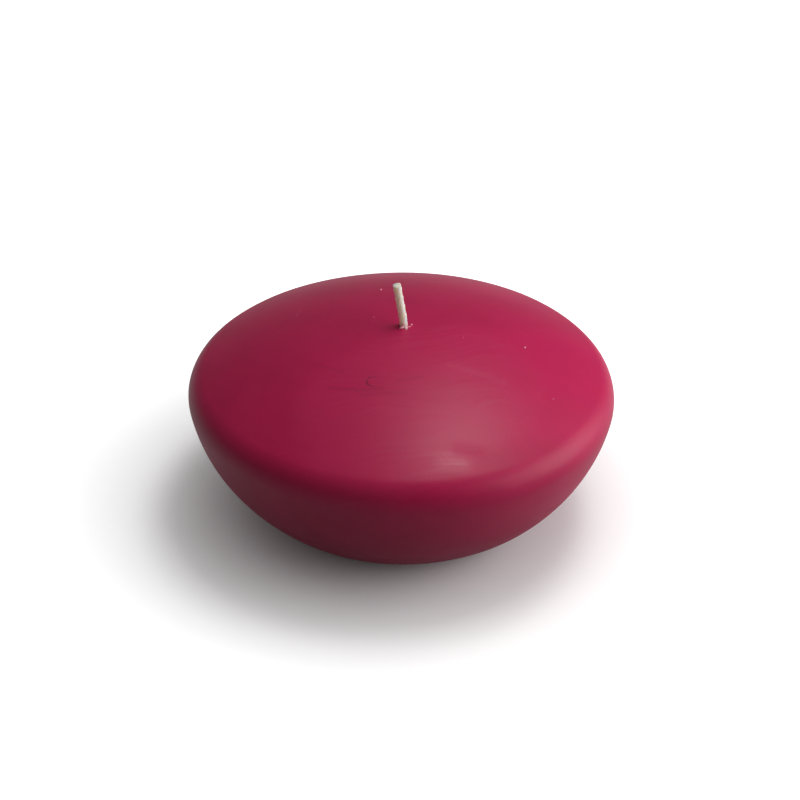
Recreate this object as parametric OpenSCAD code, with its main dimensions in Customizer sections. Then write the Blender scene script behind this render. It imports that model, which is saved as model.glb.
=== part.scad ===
// Floating candle: a moulded wax bowl with a low domed top, a plaited wick and the stamped
// sustainer that holds the wick's foot. The foot stands on Z = 0 and the wick's bore is on the
// Z axis. The wax body's outline is a chain of tangent arcs: foot edge, side, shoulder, dome.

/* [Wax body] */
// Diameter of the candle at its widest
candle_d = 76.2; // [64:0.2:90]
// Height from the foot to the middle of the shoulder
bowl_h = 23; // [19.5:0.1:27]
// Height of the dome above the middle of the shoulder
dome_h = 12.2; // [10:0.1:14.5]
// Diameter of the flat foot
foot_d = 41.2; // [35:0.2:48]
// Radius of the rounded shoulder between the side and the dome
shoulder_r = 4.8; // [3.8:0.1:5.8]
// Radius of the edge between the foot and the side
foot_edge_r = 4; // [3:0.1:5]
// Inward slope of the side where it leaves the shoulder, in degrees
side_draft = 9.8; // [6:0.1:13]

/* [Wick] */
// Diameter of the plaited wick
wick_d = 1.6; // [1.2:0.05:2.4]
// Length of the wick that stands out of the dome
wick_stub_l = 8.2; // [5:0.1:14]
// Lean of the wick's free end from the vertical, in degrees
wick_lean = 9.5; // [0:0.5:20]
// Length of the bend between the dome and the straight free end
wick_bend_l = 2; // [1:0.1:4]
// Distance from one stitch of the plait to the next along the wick
plait_pitch = 1.75; // [1.4:0.05:2.4]
// Depth of the grooves between the stitches
plait_depth = 0.12; // [0.04:0.01:0.2]
// Gap between the wick and the hole that it runs in, all round
wick_gap = 0.06; // [0.02:0.01:0.2]

/* [Wick sustainer] */
// Diameter of the stamped disc
tab_d = 15.6; // [12:0.1:20]
// Thickness of the tinned sheet
tab_t = 0.3; // [0.2:0.05:0.5]
// Height of the neck above the disc
neck_h = 5; // [3:0.1:9]
// Radius of the bend from the disc into the neck
neck_bend_r = 0.4; // [0.2:0.05:0.8]
// Height of the disc's underside above the foot
tab_inset = 0.3; // [0.1:0.05:0.8]
// Gap between the sustainer's rims and the wax
tab_gap = 0.15; // [0.05:0.05:0.4]

/* [Hidden] */
$fn = 96;

// How far a shape runs past the line that trims it
trim_over = 1;
// A small arc is drawn this much large, so that it crosses the arc or line that it rounds
arc_over = 0.0005;

// Unit vector at angle a in the plane of the section
function heading(a) = [cos(a), sin(a)];

// Arc centres of the section. Each arc is tangent to its neighbours: two arcs that touch from
// inside have centres as far apart as the difference of their radii.
candle_h = bowl_h + dome_h;
shoulder_c = [candle_d / 2 - shoulder_r, bowl_h];
foot_c = [foot_d / 2, foot_edge_r];
dome_r = (shoulder_c.x ^ 2 + dome_h ^ 2 - shoulder_r ^ 2) / (2 * (dome_h - shoulder_r));
dome_c = [0, candle_h - dome_r];
edge_span = shoulder_c - foot_c;
edge_r_step = shoulder_r - foot_edge_r;
side_r = shoulder_r + (edge_span * edge_span - edge_r_step ^ 2)
    / (2 * (edge_span * heading(-side_draft) + edge_r_step));
side_c = shoulder_c - (side_r - shoulder_r) * heading(-side_draft);

// Angles at which the dome runs into the shoulder and the side into the foot edge
dome_a = atan2(shoulder_c.y - dome_c.y, shoulder_c.x - dome_c.x);
foot_a = atan2(foot_c.y - side_c.y, foot_c.x - side_c.x);

// The neck of the sustainer closes round the wick, and the wax closes round the neck
wick_hole_r = wick_d / 2 + wick_gap;
neck_r = wick_hole_r + tab_t;
tab_top_z = tab_inset + tab_t;

// Rings of points that make the wick: its foot is level with the sustainer's underside
wick_sides = 16;
rings_per_stitch = 5;
wick_straight_l = candle_h - tab_inset;
wick_l = wick_straight_l + wick_stub_l;
wick_rings = ceil(rings_per_stitch * wick_l / plait_pitch);
ring_step = wick_l / wick_rings;

// Slice of a disc of radius r about point c, between the angles a1 and a2
module sector(c, r, a1, a2) {
    // The triangle's far side stays outside the arc
    reach = 1.1 * r / cos((a2 - a1) / 2);
    intersection() {
        translate(c) circle(r);
        polygon([c, c + reach * heading(a1), c + reach * heading(a2)]);
    }
}

// Dome, from just behind the axis to the shoulder, and down to the middle of the bowl
module dome_section() {
    intersection() {
        sector(dome_c, dome_r, dome_a, 180 - dome_a);
        translate([-trim_over, bowl_h / 2]) square([candle_d, candle_h]);
    }
}

// Right half of the wax body's section, trimmed at the axis and at the foot
module wax_section() {
    intersection() {
        union() {
            polygon([[-trim_over, -trim_over], [foot_c.x, -trim_over], foot_c, shoulder_c,
                [-trim_over, bowl_h]]);
            translate(foot_c) circle(foot_edge_r + arc_over);
            translate(shoulder_c) circle(shoulder_r + arc_over);
            sector(side_c, side_r, foot_a, -side_draft);
            dome_section();
        }
        square([candle_d, 2 * candle_h]);
    }
}

// Hole along the axis: the recess for the disc, the neck's seat with its mouth opened for the
// bend, and the wick's bore up to the top of the dome
module wick_hole() {
    seat_r = tab_d / 2 + tab_gap;
    seat_neck_r = neck_r + tab_gap;
    seat_top_z = tab_top_z + neck_h + tab_gap;
    top_z = candle_h + trim_over;
    rotate_extrude()
    polygon([
        [0, -trim_over], [seat_r, -trim_over], [seat_r, tab_top_z],
        [seat_neck_r + neck_bend_r, tab_top_z], [seat_neck_r, tab_top_z + neck_bend_r],
        [seat_neck_r, seat_top_z], [wick_hole_r, seat_top_z], [wick_hole_r, top_z], [0, top_z]
    ]);
}

// The wax body, cast in one piece
module wax_body() {
    color("#a8264f")
    difference() {
        rotate_extrude() wax_section();
        wick_hole();
    }
}

// Lean of the wick at length s along it: upright in the bore, bent just above the dome
function lean_at(s) = wick_lean * min(max((s - wick_straight_l) / wick_bend_l, 0), 1);

// Direction of the wick at length s, leaning to -X
function wick_dir(s) = [-sin(lean_at(s)), 0, cos(lean_at(s))];

// Centres of the rings, one step after the other along the wick
wick_path = [
    for (i = 0, p = [0, 0, tab_inset];
         i <= wick_rings;
         p = p + ring_step * wick_dir((i + 0.5) * ring_step), i = i + 1) p
];

// Radius of the wick at angle a and length s. Four strands make four columns of stitches with a
// groove between them, and the stitches of neighbouring columns slant to each other in V shapes.
function column(a) = abs(sin(2 * a));
function slant(a) = abs((a + 45) % 90 - 45) / 90;
function stitch(a, s) = (1 + cos(360 * (s / plait_pitch + slant(a)))) / 2;
function wick_r(a, s) = wick_d / 2 - plait_depth * (1 - column(a) * stitch(a, s));

function wick_ring(i) = [
    for (k = [0 : wick_sides - 1])
        let (s = i * ring_step, a = 360 * k / wick_sides, lean = lean_at(s))
        wick_path[i] + wick_r(a, s) * [cos(a) * cos(lean), sin(a), cos(a) * sin(lean)]
];

// Two triangles between ring i and the next, at side k
function wick_panel(i, k) =
    let (low = i * wick_sides, high = low + wick_sides, next = (k + 1) % wick_sides)
    [[low + k, high + k, high + next], [low + k, high + next, low + next]];

// The wick, a sweep of the plait's section from the sustainer to its square-cut end
module wick() {
    last = wick_rings * wick_sides;
    foot_end = [[for (k = [0 : wick_sides - 1]) k]];
    cut_end = [[for (k = [wick_sides - 1 : -1 : 0]) last + k]];
    panels = [for (i = [0 : wick_rings - 1], k = [0 : wick_sides - 1]) each wick_panel(i, k)];
    color("#e9dfcb")
    polyhedron([for (i = [0 : wick_rings]) each wick_ring(i)], concat(foot_end, panels, cut_end));
}

// The sustainer, stamped from one sheet: a flat disc whose middle is drawn up into a neck
module wick_sustainer() {
    bend_c = [neck_r + neck_bend_r, tab_t + neck_bend_r];
    neck_top = tab_t + neck_h;
    color("#b9bcc0")
    translate([0, 0, tab_inset])
    rotate_extrude()
    difference() {
        // Disc and neck, with the corner between them filled
        polygon([
            [wick_hole_r, 0], [tab_d / 2, 0], [tab_d / 2, tab_t], [bend_c.x, tab_t],
            bend_c, [neck_r, bend_c.y], [neck_r, neck_top], [wick_hole_r, neck_top]
        ]);
        // Inside of the bend
        translate(bend_c) circle(neck_bend_r + arc_over);
        // Outside of the bend
        difference() {
            translate([0, -trim_over]) square([bend_c.x, bend_c.y + trim_over]);
            translate(bend_c) circle(neck_bend_r + tab_t + arc_over);
        }
    }
}

wax_body();
wick();
wick_sustainer();
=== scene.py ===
import math
import random

import bmesh
import bpy
from mathutils import Matrix, Vector, kdtree, noise


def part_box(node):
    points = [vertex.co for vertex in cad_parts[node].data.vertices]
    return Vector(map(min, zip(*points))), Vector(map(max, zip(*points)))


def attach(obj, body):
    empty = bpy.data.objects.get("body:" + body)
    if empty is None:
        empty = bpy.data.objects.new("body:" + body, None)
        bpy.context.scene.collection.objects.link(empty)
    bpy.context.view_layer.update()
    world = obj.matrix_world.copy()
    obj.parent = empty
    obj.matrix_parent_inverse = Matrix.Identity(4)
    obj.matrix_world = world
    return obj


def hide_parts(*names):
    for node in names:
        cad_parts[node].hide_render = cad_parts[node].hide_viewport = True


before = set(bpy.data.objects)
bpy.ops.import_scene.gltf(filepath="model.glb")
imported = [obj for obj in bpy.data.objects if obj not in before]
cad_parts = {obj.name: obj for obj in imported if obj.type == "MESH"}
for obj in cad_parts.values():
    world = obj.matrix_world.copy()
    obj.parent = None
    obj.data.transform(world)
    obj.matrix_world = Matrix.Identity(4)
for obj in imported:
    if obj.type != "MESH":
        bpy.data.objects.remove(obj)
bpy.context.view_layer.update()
print("frame:", sorted(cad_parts))

mm = 0.001
weldReach = 0.001 * mm  # points nearer than this to each other become one
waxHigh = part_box("wax_body")[1]
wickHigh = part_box("wick")[1]
tabLow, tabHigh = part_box("wick_sustainer")


# Camera. The photo looks down on the candle from the front; the candle's axis leans a hair right.
view = {
    "elevation": 31.97,  # degrees above the table
    "distance": 267.5 * mm,
    "lens": 66.75,  # millimetres, as is the sensor's width
    "sensor": 36.0,
    "roll": 0.87,  # degrees
    "shift": (-0.0033, -0.0176),  # moves the candle right and up, in widths of the picture
    "lookAt": Vector((0, 0, 22.8 * mm)),
    "clipStart": 10 * mm,
}


def makeCamera():
    data = bpy.data.cameras.new("camera")
    data.lens = view["lens"]
    data.sensor_width = view["sensor"]
    data.shift_x, data.shift_y = view["shift"]
    data.clip_start = view["clipStart"]
    camera = bpy.data.objects.new("camera", data)
    tilt = math.radians(view["elevation"])
    away = Vector((0, -math.cos(tilt), math.sin(tilt)))
    turn = Matrix.Rotation(math.radians(90) - tilt, 4, "X")
    roll = Matrix.Rotation(math.radians(view["roll"]), 4, "Z")
    place = Matrix.Translation(view["lookAt"] + away * view["distance"])
    camera.matrix_world = place @ turn @ roll
    bpy.context.scene.collection.objects.link(camera)
    bpy.context.scene.camera = camera


# Small helpers for materials and meshes
def colour(hexCode):
    # sRGB hex to linear
    parts = [int(hexCode[i : i + 2], 16) / 255 for i in (1, 3, 5)]
    linear = [p / 12.92 if p <= 0.04045 else ((p + 0.055) / 1.055) ** 2.4 for p in parts]
    return (*linear, 1.0)


def newMaterial(name):
    material = bpy.data.materials.new(name)
    material.use_nodes = True
    return material, material.node_tree, material.node_tree.nodes["Principled BSDF"]


def setInputs(tree, node, inputs):
    # an input takes a node (its first output), one output of a node, a hex colour or a plain value
    for socket, value in inputs.items():
        if isinstance(value, bpy.types.Node):
            value = value.outputs[0]
        if isinstance(value, bpy.types.NodeSocket):
            tree.links.new(value, node.inputs[socket])
        else:
            node.inputs[socket].default_value = colour(value) if isinstance(value, str) else value


def addNode(tree, kind, inputs=(), **settings):
    # inputs are a list in the node's own order, or a dictionary; settings are the node's fields
    node = tree.nodes.new("ShaderNode" + kind)
    for field, value in settings.items():
        setattr(node, field, value)
    setInputs(tree, node, inputs if isinstance(inputs, dict) else dict(enumerate(inputs)))
    return node


def layColours(tree, base, *layers):
    # lays each (share, colour) over what is below it, by the mix node's sockets for colours
    for share, tone in layers:
        base = addNode(tree, "Mix", {"Factor": share, 6: base, 7: tone}, data_type="RGBA").outputs[2]
    return base


def finishMesh(bm, name, sharpAngle=None):
    # welds and turns the faces outwards, then makes the object at the origin
    bmesh.ops.remove_doubles(bm, verts=bm.verts, dist=weldReach)
    bmesh.ops.recalc_face_normals(bm, faces=bm.faces)
    mesh = bpy.data.meshes.new(name)
    bm.to_mesh(mesh)
    bm.free()
    mesh.shade_smooth()
    if sharpAngle:
        mesh.set_sharp_from_angle(angle=math.radians(sharpAngle))
    piece = bpy.data.objects.new(name, mesh)
    bpy.context.scene.collection.objects.link(piece)
    return piece


# Candle wax, poured into a mould: satin where the mould touched it and a little translucent. It
# has cloudy patches, a fine grain, and faint smears in wide arcs, from being wiped
waxLook = {
    # (colour, where it stands in the mottle)
    "deep": ("#AC0B46", 0.3),
    "body": ("#B40D4B", 0.5),
    "pale": ("#BA124F", 0.7),
    # a brighter tone over the front and right of the dome: painted sheen
    "paintedSheen": "#C21353",
    "paintedSheenShare": 0.42,
    "bloom": "#C87C94",  # whitish film that old wax sweats out
    "smearFilm": 0.14,  # shares of that film on the smears and on the whole wiped part; on the wiped part it also paints a faint sheen
    "wipedFilmAndSheen": 0.0233,
    "scuffed": "#4E0820",
    "scuffContrast": 1.4,
    "roughness": 0.43,
    "smearShine": 0.16,  # taken off the roughness by the smears and on the whole wiped part
    "wipedShine": 0.04,
    "cloudSize": 9.0,  # millimetres, as are all sizes here
    "cloudShare": 0.65,  # of the mottle; the grain has the rest
    "grainSize": 0.45,
    "grainDepth": 0.011,
    "smearWidth": 0.75,
    "smearDepth": 0.004,
    "smearsRound": 18,  # waves of the smears along a whole ring
    "smearCentre": (-4.0, 26.0, 0.0),  # the wiping hand's arcs go round this point
    "smearWander": 8.8,
    "smearsElsewhere": 0.25,  # their strength outside the wiped part
    "patchSize": 15.0,
    "smearPatches": (0.40, 0.58),  # the patches' values where smears set in and are full
    "scuffDepth": 0.04,
    # all marks below are placed as seen from above, and set in between these heights
    "marksBetween": (23.0, 25.0),
    # (start, end, half width, where the edge starts) of the wiped part and of a brighter part, where a
    # sheen is painted
    "wipedPart": ((-3.0, -23.0), (9.0, -14.0), 16.8, 13.2),
    "paintedSheenPart": ((-2.0, -21.0), (32.0, -6.0), 17.5, 12.0),
    # scuffs, the first six in one curl, and pale scratches: (start, end, half width, strength)
    "scuffs": [
        ((-4.45, -14.76), (-5.38, -14.86), 0.26, 0.45),
        ((-5.38, -14.86), (-5.96, -15.32), 0.28, 0.60),
        ((-5.96, -15.32), (-6.13, -15.96), 0.30, 0.75),
        ((-6.13, -15.96), (-5.82, -16.67), 0.30, 0.75),
        ((-5.82, -16.67), (-5.13, -17.05), 0.28, 0.60),
        ((-5.13, -17.05), (-4.28, -17.20), 0.26, 0.40),
        ((-12.26, -16.73), (-7.86, -17.55), 0.55, 0.25),
        ((-7.75, -17.84), (-3.35, -17.75), 0.60, 0.25),
        ((-6.77, -18.98), (0.41, -18.47), 0.80, 0.15),
        ((-14.79, -10.34), (-10.37, -13.01), 0.70, 0.15),
        ((-0.96, -15.88), (3.26, -14.73), 0.60, 0.20),
    ],
    "scratches": [
        ((8.07, -11.06), (16.94, -13.54), 1.30, 0.10),
        ((-19.49, 7.63), (-18.87, 10.63), 0.24, 0.35),
        ((4.20, 23.30), (6.80, 23.00), 0.40, 0.30),
    ],
    # a worn, glossier spot and a duller one beside it: (start, end, half width, roughness added)
    "worn": [
        ((6.7, -32.0), (9.7, -32.0), 2.6, -0.24),
        ((9.4, -29.3), (12.4, -29.3), 2.4, 0.32),
    ],
}


def segmentMask(tree, flat, start, end, halfWidth, core=0.0):
    # one within core of the line from start to end, falling to nothing at halfWidth from it
    start, end = Vector((*start, 0)), Vector((*end, 0))
    way = end - start
    fromStart = addNode(tree, "VectorMath", [flat, start], operation="SUBTRACT")
    along = addNode(tree, "VectorMath", [fromStart, way / way.length_squared], operation="DOT_PRODUCT")
    held = addNode(tree, "Clamp", [along.outputs["Value"]])
    foot = addNode(tree, "VectorMath", {0: way, "Scale": held}, operation="SCALE")
    off = addNode(tree, "VectorMath", [fromStart, foot], operation="DISTANCE").outputs["Value"]
    edge = {"Value": off, "From Min": halfWidth, "From Max": core}
    return addNode(tree, "MapRange", edge, interpolation_type="SMOOTHSTEP")


def markMask(tree, flat, marks):
    # the strongest of several marks at each point
    strongest = 0.0
    for start, end, halfWidth, strength in marks:
        mask = segmentMask(tree, flat, start, end, halfWidth)
        mask = addNode(tree, "Math", [mask, strength], operation="MULTIPLY")
        strongest = addNode(tree, "Math", [mask, strongest], operation="MAXIMUM")
    return strongest


def waxMaterial():
    material, tree, shader = newMaterial("moulded_paraffin_wax")
    place = addNode(tree, "TexCoord").outputs["Object"]
    point = addNode(tree, "VectorMath", {0: place, "Scale": 1 / mm}, operation="SCALE")
    flat = addNode(tree, "VectorMath", [point, (1, 1, 0)], operation="MULTIPLY")

    cloud = addNode(tree, "TexNoise", {"Vector": point, "Scale": 1 / waxLook["cloudSize"], "Detail": 3.0})
    patch = addNode(tree, "TexNoise", {"Vector": point, "Scale": 1 / waxLook["patchSize"], "Detail": 1.0})
    grain = addNode(tree, "TexNoise", {"Vector": point, "Scale": 1 / waxLook["grainSize"], "Detail": 2.0})

    # Smears run in arcs: noise on a ring coordinate that changes fast outwards and slowly along
    # the ring, so it has no seam. A second noise makes them wander.
    swept = addNode(tree, "VectorMath", [flat, waxLook["smearCentre"]], operation="SUBTRACT")
    heading = addNode(tree, "VectorMath", [swept], operation="NORMALIZE")
    ringScale = waxLook["smearsRound"] / (2 * math.pi)
    along = addNode(tree, "VectorMath", {0: heading, "Scale": ringScale}, operation="SCALE")
    radius = addNode(tree, "VectorMath", [swept], operation="LENGTH").outputs["Value"]
    wander = addNode(tree, "Math", [patch, waxLook["smearWander"], radius], operation="MULTIPLY_ADD")
    outwards = addNode(tree, "Math", [wander, waxLook["smearWidth"]], operation="DIVIDE")
    lift = addNode(tree, "CombineXYZ", {"Z": outwards})
    ring = addNode(tree, "VectorMath", [along, lift], operation="ADD")
    smear = addNode(tree, "TexNoise", {"Vector": ring, "Scale": 1.0, "Detail": 5.0})

    # Where they are: in patches, and mostly in the wiped part
    setIn, full = waxLook["smearPatches"]
    inPatch = addNode(tree, "MapRange", {"Value": patch, "From Min": setIn, "From Max": full})
    height = addNode(tree, "SeparateXYZ", [point]).outputs["Z"]
    low, high = waxLook["marksBetween"]
    onDome = addNode(tree, "MapRange", {"Value": height, "From Min": low, "From Max": high})
    wiped = segmentMask(tree, flat, *waxLook["wipedPart"])
    wiped = addNode(tree, "Math", [wiped, onDome], operation="MULTIPLY")
    elsewhere = waxLook["smearsElsewhere"]
    share = addNode(tree, "Math", [wiped, 1 - elsewhere, elsewhere], operation="MULTIPLY_ADD")
    share = addNode(tree, "Math", [inPatch, share], operation="MULTIPLY")
    smeared = addNode(tree, "Math", [smear, 0.5], operation="SUBTRACT")  # swings about nought
    smeared = addNode(tree, "Math", [smeared, share], operation="MULTIPLY")

    cloudShare = waxLook["cloudShare"]
    mottle = addNode(tree, "Math", [grain, 1 - cloudShare], operation="MULTIPLY")
    mottle = addNode(tree, "Math", [cloud, cloudShare, mottle], operation="MULTIPLY_ADD")
    tones = addNode(tree, "ValToRGB", [mottle])
    for stop, name in zip(tones.color_ramp.elements, ("deep", "pale")):
        hexCode, stop.position = waxLook[name]
        stop.color = colour(hexCode)
    hexCode, position = waxLook["body"]
    tones.color_ramp.elements.new(position).color = colour(hexCode)

    # The grain breaks up the scuffs, the scratches and the worn spots
    broken = addNode(tree, "Math", [grain, onDome], operation="MULTIPLY")
    scuffed = markMask(tree, flat, waxLook["scuffs"])
    scuffed = addNode(tree, "Math", [scuffed, broken], operation="MULTIPLY")
    scratched = markMask(tree, flat, waxLook["scratches"])
    scratched = addNode(tree, "Math", [scratched, broken], operation="MULTIPLY")

    # Painted sheen: a brighter tone laid over the front and right of the dome
    paintedSheen = segmentMask(tree, flat, *waxLook["paintedSheenPart"])
    paintedSheen = addNode(tree, "Math", [paintedSheen, onDome], operation="MULTIPLY")
    paintedSheen = addNode(tree, "Math", [paintedSheen, waxLook["paintedSheenShare"]], operation="MULTIPLY")
    # the film: on the scratches and smears, and a faint share over the wiped part that paints a sheen
    # there
    film = addNode(tree, "Math", [wiped, waxLook["wipedFilmAndSheen"], scratched], operation="MULTIPLY_ADD")
    film = addNode(tree, "Math", [smeared, waxLook["smearFilm"], film], operation="MULTIPLY_ADD")
    film.use_clamp = True
    dark = addNode(tree, "Math", [scuffed, waxLook["scuffContrast"]], operation="MULTIPLY", use_clamp=True)
    layers = [(paintedSheen, waxLook["paintedSheen"]), (film, waxLook["bloom"]), (dark, waxLook["scuffed"])]
    base = layColours(tree, tones, *layers)

    shine = [smeared, -waxLook["smearShine"], waxLook["roughness"]]
    rough = addNode(tree, "Math", shine, operation="MULTIPLY_ADD")
    rough = addNode(tree, "Math", [wiped, -waxLook["wipedShine"], rough], operation="MULTIPLY_ADD")
    streaked = addNode(tree, "Math", [smear, broken], operation="MULTIPLY")
    for *line, added in waxLook["worn"]:
        spot = addNode(tree, "Math", [segmentMask(tree, flat, *line), streaked], operation="MULTIPLY")
        rough = addNode(tree, "Math", [spot, added, rough], operation="MULTIPLY_ADD")

    relief = {"Height": smeared, "Strength": 1.0, "Distance": waxLook["smearDepth"] * mm}
    relief["Normal"] = addNode(tree, "Bump", relief)
    relief.update({"Height": grain, "Distance": waxLook["grainDepth"] * mm})
    relief["Normal"] = addNode(tree, "Bump", relief)
    relief.update({"Height": scuffed, "Distance": waxLook["scuffDepth"] * mm})
    relief["Normal"] = addNode(tree, "Bump", relief, invert=True)

    setInputs(tree, shader, {
        "Base Color": base,
        "Roughness": rough,
        "Normal": relief["Normal"],
        "IOR": 1.44,
        "Specular IOR Level": 0.36,
        "Subsurface Weight": 0.35,
        "Subsurface Radius": (1.0, 0.22, 0.3),
        "Subsurface Scale": 1.5 * mm,
    })
    return material


# Wax body: one closed shell, spun from the outline of the casting
body = {
    "bowlHeight": 23.0 * mm,  # foot to the middle of the shoulder
    "footRadius": 20.6 * mm,
    "shoulderRadius": 4.8 * mm,
    "footEdgeRadius": 4.0 * mm,
    "sideSlope": 9.8,  # degrees inwards just below the shoulder
    "recessDepth": 0.6 * mm,  # holds the sustainer's disc
    "recessLip": 0.2 * mm,
    "neckWall": 0.3 * mm,  # of the sustainer's neck
    "neckGap": 0.15 * mm,
    # steps of the outline's stretches, from the wick outwards and down
    "steps": {"crown": 24, "dome": 50, "shoulder": 18, "side": 40, "footEdge": 8, "foot": 12, "lip": 4},
    "innerSteps": {"ceiling": 6, "neck": 4, "bore": 12},
    "crownReach": 4.0 * mm,  # the wax round the wick has finer steps
    "seam": 0.02 * mm,  # the outline stops this far below its start, and the weld closes it
    "weld": 0.03 * mm,
    "boreSkin": 0.02 * mm,  # points this near the bore's wall stay where they are
    "facesRound": 240,
    "sharpAngle": 50,  # degrees, edges above this aren't smoothed over
    "waveHeight": 0.05 * mm,  # the casting is never quite true
    "waveLength": 16 * mm,
    "wavesBetween": (1.0 * mm, 4.0 * mm),  # heights where the waves set in
    # out of round, as in the photo: (lobes round the candle, along X, along Y)
    "lobes": [(2, 0.0, 0.055 * mm), (3, -0.21 * mm, -0.08 * mm)],
    "lobesBelow": 12 * mm,  # the lobes grow up to this height
    "climbHeight": 0.2 * mm,  # wax that clings to the wick
    "climbReach": 0.35 * mm,
    "climbDepth": 1.0 * mm,  # only what lies this near the top is lifted
    "climbRagged": 0.8,
    "climbLump": 0.7 * mm,
}


def swing(bm, tip, centre, degrees, steps):
    # carries the outline on along an arc, towards the foot
    made = bmesh.ops.spin(
        bm,
        geom=[tip],
        cent=(centre.x, 0, centre.y),
        axis=(0, 1, 0),
        dvec=(0, 0, 0),
        angle=math.radians(degrees),
        steps=steps,
        use_merge=False,
        use_duplicate=False,
    )
    return [g for g in made["geom_last"] if isinstance(g, bmesh.types.BMVert)][0]


def reach(bm, tip, radius, height, steps=1):
    # carries the outline on along a straight line
    start = tip.co.copy()
    for step in range(steps):
        tip = bmesh.ops.extrude_vert_indiv(bm, verts=[tip])["verts"][0]
        tip.co = start.lerp(Vector((radius, 0, height)), (step + 1) / steps)
    return tip


def angleOf(way):
    return math.degrees(math.atan2(way.y, way.x))


def shapeCasting(bm, boreR):
    # out of round and slow waves over the outside, none on the foot or in the bore, and the wax
    # that climbs the wick
    bm.normal_update()
    low, high = body["wavesBetween"]
    for vert in bm.verts:
        fromAxis = vert.co.xy.length
        angle = math.atan2(vert.co.y, vert.co.x)
        outside = min(max((vert.co.z - low) / (high - low), 0), 1)
        if fromAxis > boreR + body["boreSkin"]:
            swell = noise.noise(vert.co / body["waveLength"])
            vert.co += vert.normal * swell * body["waveHeight"] * outside
            grow = sum(a * math.cos(n * angle) + b * math.sin(n * angle) for n, a, b in body["lobes"])
            vert.co.xy *= 1 + grow / waxHigh.x * min(vert.co.z / body["lobesBelow"], 1)
        if vert.co.z > waxHigh.z - body["climbDepth"] and fromAxis < body["crownReach"]:
            lump = noise.noise(Vector((vert.co.x, vert.co.y, 0)) / body["climbLump"])
            climb = body["climbHeight"] * math.exp((boreR - fromAxis) / body["climbReach"])
            vert.co.z += (1 + body["climbRagged"] * lump) * climb


def makeBody():
    shoulderR, edgeR = body["shoulderRadius"], body["footEdgeRadius"]
    height = waxHigh.z
    domeHeight = height - body["bowlHeight"]
    boreR = min(v.co.xy.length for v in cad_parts["wax_body"].data.vertices)
    recessR = tabHigh.x + body["neckGap"]
    neckR = boreR + body["neckWall"] + body["neckGap"]
    neckTop = tabHigh.z + body["neckGap"]

    # Centres of the arcs, each tangent to the next: (distance from the axis, height)
    shoulder = Vector((waxHigh.x - shoulderR, body["bowlHeight"]))
    footEdge = Vector((body["footRadius"], edgeR))
    domeR = (shoulder.x**2 + domeHeight**2 - shoulderR**2) / (2 * (domeHeight - shoulderR))
    dome = Vector((0, height - domeR))
    slopeAngle = math.radians(body["sideSlope"])
    slope = Vector((math.cos(slopeAngle), -math.sin(slopeAngle)))
    span = shoulder - footEdge
    shrink = shoulderR - edgeR
    sideR = shoulderR + (span.length_squared - shrink**2) / (2 * (span.dot(slope) + shrink))
    side = shoulder - (sideR - shoulderR) * slope

    domeEnd = angleOf(shoulder - dome)
    sideEnd = angleOf(footEdge - side)
    boreAngle = math.degrees(math.asin(boreR / domeR))
    crownAngle = math.degrees(math.asin(body["crownReach"] / domeR))

    bm = bmesh.new()
    steps, inner = body["steps"], body["innerSteps"]
    lip = body["recessLip"]
    tip = bm.verts.new((boreR, 0, dome.y + domeR * math.cos(math.radians(boreAngle))))
    tip = swing(bm, tip, dome, crownAngle - boreAngle, steps["crown"])
    tip = swing(bm, tip, dome, 90 - domeEnd - crownAngle, steps["dome"])
    tip = swing(bm, tip, shoulder, domeEnd + body["sideSlope"], steps["shoulder"])
    tip = swing(bm, tip, side, -body["sideSlope"] - sideEnd, steps["side"])
    tip = swing(bm, tip, footEdge, sideEnd + 90, steps["footEdge"])
    tip = reach(bm, tip, recessR + lip, 0, steps["foot"])
    tip = swing(bm, tip, Vector((recessR + lip, lip)), 90, steps["lip"])
    tip = reach(bm, tip, recessR, body["recessDepth"])
    tip = reach(bm, tip, neckR, body["recessDepth"], inner["ceiling"])
    tip = reach(bm, tip, neckR, neckTop, inner["neck"])
    tip = reach(bm, tip, boreR, neckTop)
    reach(bm, tip, boreR, height - body["seam"], inner["bore"])
    bmesh.ops.spin(
        bm,
        geom=bm.verts[:] + bm.edges[:],
        cent=(0, 0, 0),
        axis=(0, 0, 1),
        dvec=(0, 0, 0),
        angle=2 * math.pi,
        steps=body["facesRound"],
        use_merge=True,
        use_duplicate=False,
    )
    bmesh.ops.remove_doubles(bm, verts=bm.verts, dist=body["weld"])
    bmesh.ops.recalc_face_normals(bm, faces=bm.faces)
    shapeCasting(bm, boreR)
    piece = finishMesh(bm, "wax_casting", body["sharpAngle"])
    piece.data.materials.append(waxMaterial())
    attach(piece, "root")
    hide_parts("wax_body")
    return dome, domeR


# Cotton wick, plaited from eight yarns and dipped in wax: nearly white, with painted shade in the grooves
# where the yarns dip into the plait, a thin gloss from the wax and a pink stain where it leaves the candle
wickLook = {
    "cotton": "#FEF8EA",
    # painted shade where the yarns dip into the plait
    "groove": "#FBF0DE",
    "ply": "#FCF3E2",
    "stain": "#D98FA2",
    "stainShare": 0.75,
    "stainHeight": 1.3,  # millimetres, as are all sizes here
    "plies": 3,
    "plyPitch": 0.9,  # along the yarn, from one ply to the next
    "plyDepth": 0.03,
    "fibreSize": 1 / 6,
    "fibreDepth": 0.02,
    "roughness": 0.55,
}


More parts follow.
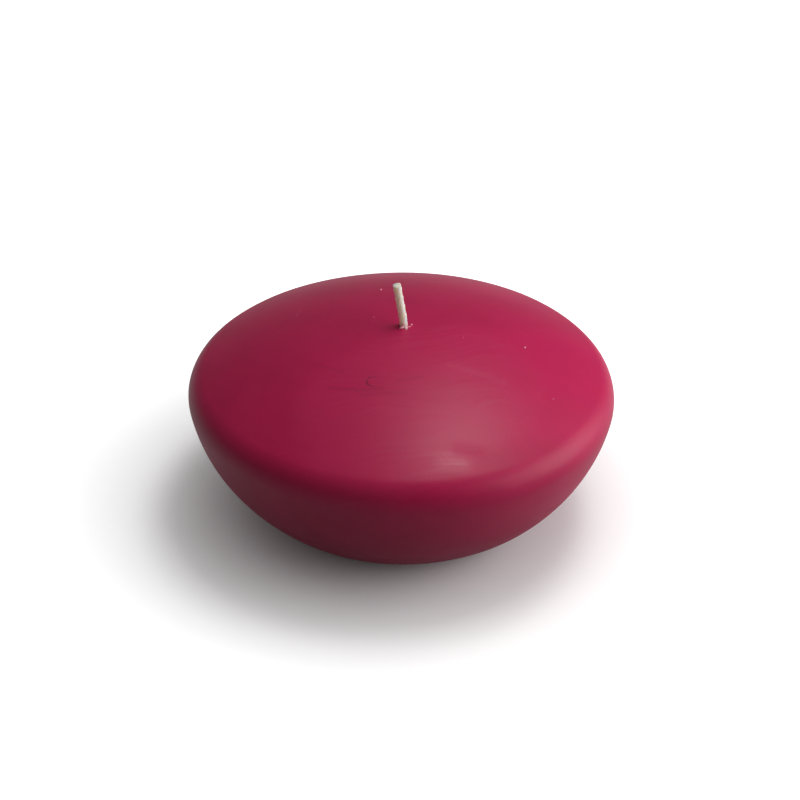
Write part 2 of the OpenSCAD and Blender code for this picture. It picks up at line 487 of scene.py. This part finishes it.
def wickMaterial(domeTop):
    material, tree, shader = newMaterial("waxed_cotton_plait")
    yarn = addNode(tree, "Attribute", attribute_name="yarn").outputs["Vector"]
    depth = addNode(tree, "Attribute", attribute_name="depth").outputs["Fac"]

    # The plies wind round the yarn: a sine of the angle round it and of the way along it
    parts = addNode(tree, "SeparateXYZ", [yarn]).outputs
    around = addNode(tree, "Math", [parts["Y"], parts["X"]], operation="ARCTAN2")
    around = addNode(tree, "Math", [around, wickLook["plies"]], operation="MULTIPLY")
    wave = 2 * math.pi / wickLook["plyPitch"]
    wound = addNode(tree, "Math", [parts["Z"], wave, around], operation="MULTIPLY_ADD")
    ply = addNode(tree, "Math", [wound], operation="SINE")
    ply = addNode(tree, "MapRange", {"Value": ply, "From Min": -1.0})

    place = addNode(tree, "TexCoord").outputs["Object"]
    fibreScale = 1 / (wickLook["fibreSize"] * mm)
    fibre = addNode(tree, "TexNoise", {"Vector": place, "Scale": fibreScale, "Detail": 2.0})

    # The stain fades out just above the wax
    height = addNode(tree, "SeparateXYZ", [place]).outputs["Z"]
    fade = {"Value": height, "From Min": domeTop + wickLook["stainHeight"] * mm, "From Max": domeTop}
    fade["To Max"] = wickLook["stainShare"]
    stain = addNode(tree, "MapRange", fade, interpolation_type="SMOOTHSTEP")
    # the yarns get a painted shade where they lie deep in the plait
    layers = [(ply, wickLook["cotton"]), (depth, wickLook["groove"]), (stain, wickLook["stain"])]
    base = layColours(tree, wickLook["ply"], *layers)

    relief = {"Height": ply, "Strength": 0.5, "Distance": wickLook["plyDepth"] * mm}
    relief["Normal"] = addNode(tree, "Bump", relief)
    relief.update({"Height": fibre, "Strength": 0.4, "Distance": wickLook["fibreDepth"] * mm})
    relief["Normal"] = addNode(tree, "Bump", relief)

    setInputs(tree, shader, {
        "Base Color": base,
        "Roughness": wickLook["roughness"],
        "Normal": relief["Normal"],
        "IOR": 1.45,
        "Subsurface Weight": 1.0,
        "Subsurface Radius": (1.0, 0.75, 0.55),
        "Subsurface Scale": 1.6 * mm,
        "Coat Weight": 0.25,
        "Coat Roughness": 0.35,
    })
    return material


wick = {
    "bend": 2.0 * mm,  # from upright to its lean, just above the wax
    "yarnsEachWay": 4,
    "turnPitch": 7.0 * mm,  # height in which a yarn goes once round
    "ringRadius": 0.47 * mm,  # of the yarns' middle lines
    "squareness": 0.035 * mm,  # how far the plait's four corners stand out, and its faces in
    "cornerAt": 27.0,  # degrees, one of its corners
    "flare": 0.07 * mm,  # the cut end is spread a little
    "flareLength": 0.7 * mm,
    "weave": 0.05 * mm,  # how far a yarn goes in and out
    "yarnWidth": 0.70 * mm,
    "yarnThickness": 0.44 * mm,
    "yarnSides": 12,
    "coreRadius": 0.68 * mm,  # core yarns, and the wax that fills the grooves nearly up
    "coreSides": 24,
    "step": 0.16 * mm,  # between a yarn's rings
    "overrun": 0.4 * mm,  # made longer by this, and then cut off square
    "ragged": 0.05 * mm,  # how far one yarn's end is off another's
    "ahead": 0.01 * mm,  # the way of a yarn is taken over this length
    "footGap": 0.01 * mm,  # from the disc's underside to the wick's foot
    "slice": 0.5 * mm,  # half the height of the slices that the lean is read from
    "skinGrid": 0.06 * mm,  # size of the faces of the skin over the yarns
}


def wickLean():
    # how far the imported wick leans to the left, in radians
    points = [v.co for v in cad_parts["wick"].data.vertices]
    middles = []
    for height in (wickHigh.z - wick["slice"], (wickHigh.z + waxHigh.z) / 2):
        near = [p for p in points if abs(p.z - height) < wick["slice"]]
        middles.append(sum(near, Vector()) / len(near))
    tip, halfway = middles
    return math.atan2(halfway.x - tip.x, tip.z - halfway.z)


def oneSkin(tubes):
    # wraps the yarns in one skin, through which light can scatter as it does in waxed cotton;
    # each of its points takes over the values of the nearest yarn
    mesh = bpy.data.meshes.new("tubes")
    tubes.to_mesh(mesh)
    wrapped = bpy.data.objects.new("tubes", mesh)
    bpy.context.scene.collection.objects.link(wrapped)
    remesh = wrapped.modifiers.new("skin", "REMESH")
    remesh.mode = "VOXEL"
    remesh.voxel_size = wick["skinGrid"]
    evaluated = wrapped.evaluated_get(bpy.context.evaluated_depsgraph_get())
    skin = bmesh.new()
    skin.from_mesh(evaluated.to_mesh())
    bpy.data.objects.remove(wrapped)
    bpy.data.meshes.remove(mesh)
    allWays = {"use_axis_x": True, "use_axis_y": True, "use_axis_z": True}
    bmesh.ops.smooth_vert(skin, verts=skin.verts, factor=0.5, **allWays)

    tubeYarn = tubes.verts.layers.float_vector["yarn"]
    tubeDepth = tubes.verts.layers.float["depth"]
    nearest = kdtree.KDTree(len(tubes.verts))
    values = []
    for index, vert in enumerate(tubes.verts):
        nearest.insert(vert.co, index)
        values.append((vert[tubeYarn].copy(), vert[tubeDepth]))
    nearest.balance()
    yarnLayer = skin.verts.layers.float_vector.new("yarn")
    depthLayer = skin.verts.layers.float.new("depth")
    for vert in skin.verts:
        vert[yarnLayer], vert[depthLayer] = values[nearest.find(vert.co)[1]]
    tubes.free()
    return skin


def corners(angle):
    # how far the plait stands out or in at an angle round it
    return wick["squareness"] * math.cos(4 * (angle - math.radians(wick["cornerAt"])))


def sweep(whole, frames, cuts, sides, halfWidth, halfThickness, squared=False):
    # a straight tube with one ring for each frame, each ring then put in its frame, and the
    # tube's ends cut off square
    last = len(frames) - 1
    bm = bmesh.new()
    yarnLayer = bm.verts.layers.float_vector.new("yarn")
    depthLayer = bm.verts.layers.float.new("depth")
    bmesh.ops.create_cone(bm, segments=sides, radius1=1, radius2=1, depth=last)
    long = [e for e in bm.edges if abs(e.verts[0].co.z - e.verts[1].co.z) > 1]
    bmesh.ops.subdivide_edges(bm, edges=long, cuts=last - 1)
    for vert in bm.verts:
        s, centre, way, outward, depth = frames[round(vert.co.z + last / 2)]
        around = vert.co.xy
        vert[yarnLayer] = Vector((around.x, around.y, s / mm))
        vert[depthLayer] = depth
        sideways = way.cross(outward).normalized()
        vert.co = centre + sideways * around.x * halfWidth + outward * around.y * halfThickness
        if squared:
            vert.co += (vert.co - centre).normalized() * corners(math.atan2(around.x, around.y))
    for place, way in cuts:
        everything = bm.verts[:] + bm.edges[:] + bm.faces[:]
        cut = bmesh.ops.bisect_plane(bm, geom=everything, plane_co=place, plane_no=way, clear_outer=True)
        rim = [g for g in cut["geom_cut"] if isinstance(g, bmesh.types.BMEdge)]
        bmesh.ops.holes_fill(bm, edges=rim, sides=0)
    tube = bpy.data.meshes.new("tube")
    bm.to_mesh(tube)
    bm.free()
    whole.from_mesh(tube)
    bpy.data.meshes.remove(tube)


def makeWick():
    lean = wickLean()
    exitZ = waxHigh.z
    length = (wickHigh.z - exitZ) / math.cos(lean)
    bend = wick["bend"]
    rng = random.Random(3)

    def middle(s):
        # middle of the wick at length s above the dome, and its direction there
        if s <= 0:
            return Vector((0, 0, exitZ + s)), Vector((0, 0, 1))
        angle = lean * min(s / bend, 1)
        arcR = bend / lean
        onArc = Vector((-arcR * (1 - math.cos(angle)), 0, exitZ + arcR * math.sin(angle)))
        way = Vector((-math.sin(angle), 0, math.cos(angle)))
        return onArc + way * max(s - bend, 0), way

    def yarnPlace(s, turn, index):
        # middle of a yarn, the direction out of the wick there, and how far the weave takes it out
        centre, way = middle(s)
        spin = 2 * math.pi * s / wick["turnPitch"]
        spacing = 2 * math.pi / wick["yarnsEachWay"]
        angle = turn * spin + index * spacing + (spacing / 2 if turn < 0 else 0)
        inOut = turn * wick["weave"] * math.sin(wick["yarnsEachWay"] * spin)
        outward = Vector((way.z, 0, -way.x)) * math.cos(angle) + Vector((0, 1, 0)) * math.sin(angle)
        spread = wick["flare"] * max(0, 1 + (s - length) / wick["flareLength"]) ** 2
        return centre + outward * (wick["ringRadius"] + corners(angle) + inOut + spread), outward, inOut

    def cuts():
        # where a yarn ends: its ragged tip, and its foot
        place, way = middle(length)
        tip = place + way * rng.uniform(-1, 0) * wick["ragged"]
        return [(tip, way), (Vector((0, 0, tabLow.z + wick["footGap"])), Vector((0, 0, -1)))]

    first = tabLow.z - exitZ
    count = math.ceil((length + wick["overrun"] - first) / wick["step"])
    stations = [first + wick["step"] * i for i in range(count + 1)]

    whole = bmesh.new()
    halfWidth, halfThickness = wick["yarnWidth"] / 2, wick["yarnThickness"] / 2
    for turn in (1, -1):
        for index in range(wick["yarnsEachWay"]):
            frames = []
            for s in stations:
                centre, outward, inOut = yarnPlace(s, turn, index)
                ahead = yarnPlace(s + wick["ahead"], turn, index)[0]
                way = (ahead - centre).normalized()
                outward = (outward - way * outward.dot(way)).normalized()
                depth = 0.5 - 0.5 * inOut / wick["weave"]  # nought outside, one inside
                frames.append((s, centre, way, outward, depth))
            sweep(whole, frames, cuts(), wick["yarnSides"], halfWidth, halfThickness)
    core = []
    for s in stations:
        centre, way = middle(s)
        core.append((s, centre, way, Vector((way.z, 0, -way.x)), 1.0))
    coreRadius = wick["coreRadius"]
    sweep(whole, core, cuts(), wick["coreSides"], coreRadius, coreRadius, squared=True)
    piece = finishMesh(oneSkin(whole), "plaited_wick")
    piece.data.materials.append(wickMaterial(exitZ))
    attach(piece, "root")
    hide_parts("wick")


# Crumbs of wax: shavings left where the wick was pushed in, and specks on the dome. Torn wax is
# full of tiny cracks, so it looks paler than the skin, almost white where it is thin
crumbs = {
    # (x, y, size across, paleness), millimetres
    "places": [
        (-0.28, -0.80, 0.80, 0.8),
        (0.45, -0.78, 0.80, 0.9),
        (0.95, -0.32, 0.55, 0.7),
        (1.41, 0.46, 0.50, 0.4),
        (-4.32, 16.4, 0.42, 0.35),
        (21.41, -2.06, 0.42, 0.35),
        (10.51, -2.5, 0.25, 0.2),
        (25.55, -14.74, 0.28, 0.2),
        (-5.32, 3.37, 0.25, 0.2),
    ],
    # as shares of a crumb's size
    "middleAbove": 0.1,  # its middle over the wax
    "proportions": ((0.8, 1.2), (0.6, 0.9), (0.6, 0.8)),  # least and most length, width, height
    "ragged": 0.7,
    "lump": 0.35,
    "crackSize": 0.2,  # millimetres
    "crackDepth": 0.03,
    "crackContrast": 2.0,
    "roughness": 0.5,
    "pink": "#D8527C",
    "torn": "#F2C4C6",
}


def crumbMaterial():
    material, tree, shader = newMaterial("torn_paraffin_wax")
    pale = addNode(tree, "Attribute", attribute_name="pale").outputs["Fac"]
    place = addNode(tree, "TexCoord").outputs["Object"]
    crackScale = 1 / (crumbs["crackSize"] * mm)
    crack = addNode(tree, "TexNoise", {"Vector": place, "Scale": crackScale, "Detail": 3.0})
    share = addNode(tree, "Math", [pale, crack], operation="MULTIPLY")
    share = addNode(tree, "Math", [share, crumbs["crackContrast"]], operation="MULTIPLY", use_clamp=True)
    relief = {"Height": crack, "Strength": 0.6, "Distance": crumbs["crackDepth"] * mm}
    setInputs(tree, shader, {
        "Base Color": layColours(tree, crumbs["pink"], (share, crumbs["torn"])),
        "Roughness": crumbs["roughness"],
        "Normal": addNode(tree, "Bump", relief),
        "IOR": 1.44,
        "Subsurface Weight": 0.3,
        "Subsurface Radius": (1.0, 0.4, 0.5),
        "Subsurface Scale": 0.3 * mm,
    })
    return material


def makeCrumbs(dome, domeR):
    rng = random.Random(7)
    bm = bmesh.new()
    paleLayer = bm.verts.layers.float.new("pale")
    for x, y, size, pale in crumbs["places"]:
        x, y, size = x * mm, y * mm, size * mm
        middle = Vector((x, y, dome.y + math.sqrt(domeR**2 - x * x - y * y)))
        middle.z += size * crumbs["middleAbove"]
        shape = Matrix.Diagonal((*[rng.uniform(*limits) for limits in crumbs["proportions"]], 1))
        turn = Matrix.Rotation(rng.uniform(0, math.pi), 4, "Z")
        matrix = Matrix.Translation(middle) @ turn @ shape
        made = bmesh.ops.create_icosphere(bm, subdivisions=3, radius=size / 2, matrix=matrix)
        for vert in made["verts"]:
            lump = noise.noise(vert.co / (crumbs["lump"] * size))
            vert.co += (vert.co - middle) * crumbs["ragged"] * lump
            vert[paleLayer] = pale
    piece = finishMesh(bm, "wax_crumbs")
    piece.data.materials.append(crumbMaterial())
    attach(piece, "root")


# Tinned steel, rolled and stamped: bright and a little streaky along the rolling, dulled by
# fingers and wax
tinLook = {
    "metal": "#C4C5C4",
    "dull": "#A2A2A0",
    "roughness": 0.28,
    "dullRoughness": 0.48,
    "dullBetween": (0.3, 0.7),  # the smudges' values where dulling sets in and is full
    "streakSize": (16.7, 0.25, 1.0),  # millimetres, along the rolling, across it and in depth
    "streakDepth": 0.01,
    "smudgeSize": 3.33,
}


def tinMaterial():
    material, tree, shader = newMaterial("rolled_tinned_steel")
    place = addNode(tree, "TexCoord").outputs["Object"]
    streakScale = [1 / (size * mm) for size in tinLook["streakSize"]]
    stretched = addNode(tree, "Mapping", {"Vector": place, "Scale": streakScale})
    streak = addNode(tree, "TexNoise", {"Vector": stretched, "Scale": 1.0, "Detail": 3.0})
    smudgeScale = 1 / (tinLook["smudgeSize"] * mm)
    smudge = addNode(tree, "TexNoise", {"Vector": place, "Scale": smudgeScale, "Detail": 3.0})
    setIn, full = tinLook["dullBetween"]
    dulled = {"Value": smudge, "From Min": setIn, "From Max": full}
    dulled.update({"To Min": tinLook["roughness"], "To Max": tinLook["dullRoughness"]})
    relief = {"Height": streak, "Strength": 0.3, "Distance": tinLook["streakDepth"] * mm}
    setInputs(tree, shader, {
        "Base Color": layColours(tree, tinLook["metal"], (smudge, tinLook["dull"])),
        "Roughness": addNode(tree, "MapRange", dulled),
        "Normal": addNode(tree, "Bump", relief),
        "Metallic": 1.0,
    })
    return material


def dressSustainer():
    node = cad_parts["wick_sustainer"]
    node.data.materials.clear()
    node.data.materials.append(tinMaterial())


# Table, lamps and the white surroundings. The table looks white and keeps the shadow, but throws
# little light up under the candle, as in the photo.
studio = {
    "seen": "#EEEEEE",  # by the camera
    "paintedGlow": 0.82,  # a painted glow added to that, less where the candle is near, which paints a soft shadow round it
    "mirrorShare": 0.42,  # how much of that white the wax's gloss and the metal show
    "paintedShadowReach": 40 * mm,  # the candle takes the painted glow away as far as this
    "paintedShadowFade": 3.0,  # and more steeply with a higher value
    "paintedShadowSamples": 8,
    "thrown": "#727272",  # what the table gives the candle
    "tableSize": 4.0,  # metres, as are the lamps' distances and sizes
    "tableDrop": 0.02 * mm,  # keeps the table's face out of the foot's own plane
    "ambient": 0.177,
    "lamps": {
        # name: (azimuth and elevation in degrees, distance, width, height, watts)
        "right softbox": (5, 22, 0.38, 0.36, 0.30, 0.65),
        "front right softbox": (-15, 22, 0.38, 0.36, 0.30, 0.59),
        "overhead softbox": (34, 74, 0.6, 0.20, 0.17, 0.92),
        "back softbox": (60, 60, 0.6, 0.20, 0.17, 0.33),
    },
}


def tableMaterial():
    # Matt white board with no gloss of its own. The camera also sees a painted glow on it, which fades
    # near the candle into a painted soft shadow
    material, tree, shader = newMaterial("white_table")
    rays = addNode(tree, "LightPath").outputs
    mirrored = [rays["Is Glossy Ray"], rays["Is Transmission Ray"]]
    mirrored = addNode(tree, "Math", mirrored, operation="MAXIMUM")
    looked = [mirrored, studio["mirrorShare"], rays["Is Camera Ray"]]
    looked = addNode(tree, "Math", looked, operation="MULTIPLY_ADD")
    white = addNode(tree, "BsdfDiffuse", {"Color": studio["seen"]})
    # painted glow, faded by the ambient occlusion near the candle into a painted shadow
    near = {"Distance": studio["paintedShadowReach"]}
    clear = addNode(tree, "AmbientOcclusion", near, samples=studio["paintedShadowSamples"]).outputs["AO"]
    clear = addNode(tree, "Math", [clear, studio["paintedShadowFade"]], operation="POWER")
    paintedGlowShader = addNode(tree, "Math", [clear, studio["paintedGlow"]], operation="MULTIPLY")
    paintedGlowShader = addNode(tree, "Emission", {"Strength": paintedGlowShader})
    seen = addNode(tree, "AddShader", [white, paintedGlowShader])
    thrown = addNode(tree, "BsdfDiffuse", {"Color": studio["thrown"]})
    mixed = addNode(tree, "MixShader", [looked, thrown, seen])
    setInputs(tree, tree.nodes["Material Output"], {"Surface": mixed})
    tree.nodes.remove(shader)
    return material


def makeLamp(name, azimuth, elevation, distance, width, height, watts):
    data = bpy.data.lights.new(name, "AREA")
    data.shape = "RECTANGLE"
    data.size, data.size_y = width, height
    data.energy = watts
    lamp = bpy.data.objects.new(name, data)
    a, e = math.radians(azimuth), math.radians(elevation)
    away = Vector((math.cos(e) * math.cos(a), math.cos(e) * math.sin(a), math.sin(e)))
    lamp.location = view["lookAt"] + away * distance
    lamp.rotation_euler = away.to_track_quat("Z", "Y").to_euler()
    bpy.context.scene.collection.objects.link(lamp)


def makeStudio():
    bm = bmesh.new()
    lowered = Matrix.Translation((0, 0, -studio["tableDrop"]))
    bmesh.ops.create_grid(bm, x_segments=2, y_segments=2, size=studio["tableSize"] / 2, matrix=lowered)
    table = finishMesh(bm, "table")
    table.data.materials.append(tableMaterial())
    for name, settings in studio["lamps"].items():
        makeLamp(name, *settings)

    # The camera sees white all round, and everything else gets the ambient light
    world = bpy.data.worlds.new("surroundings")
    world.use_nodes = True
    bpy.context.scene.world = world
    tree = world.node_tree
    around = tree.nodes["Background"]
    setInputs(tree, around, {"Color": "#FFFFFF", "Strength": studio["ambient"]})
    white = addNode(tree, "Background", {"Color": "#FFFFFF", "Strength": 1.0})
    seen = addNode(tree, "LightPath").outputs["Is Camera Ray"]
    mixed = addNode(tree, "MixShader", [seen, around, white])
    setInputs(tree, tree.nodes["World Output"], {"Surface": mixed})


makeCamera()
makeStudio()
print("camera, table and lamps placed")
dome, domeR = makeBody()
print("wax body spun")
makeWick()
print("wick plaited")
makeCrumbs(dome, domeR)
dressSustainer()
print("crumbs scattered, sustainer dressed")

scene = bpy.context.scene
scene.view_settings.view_transform = "Standard"
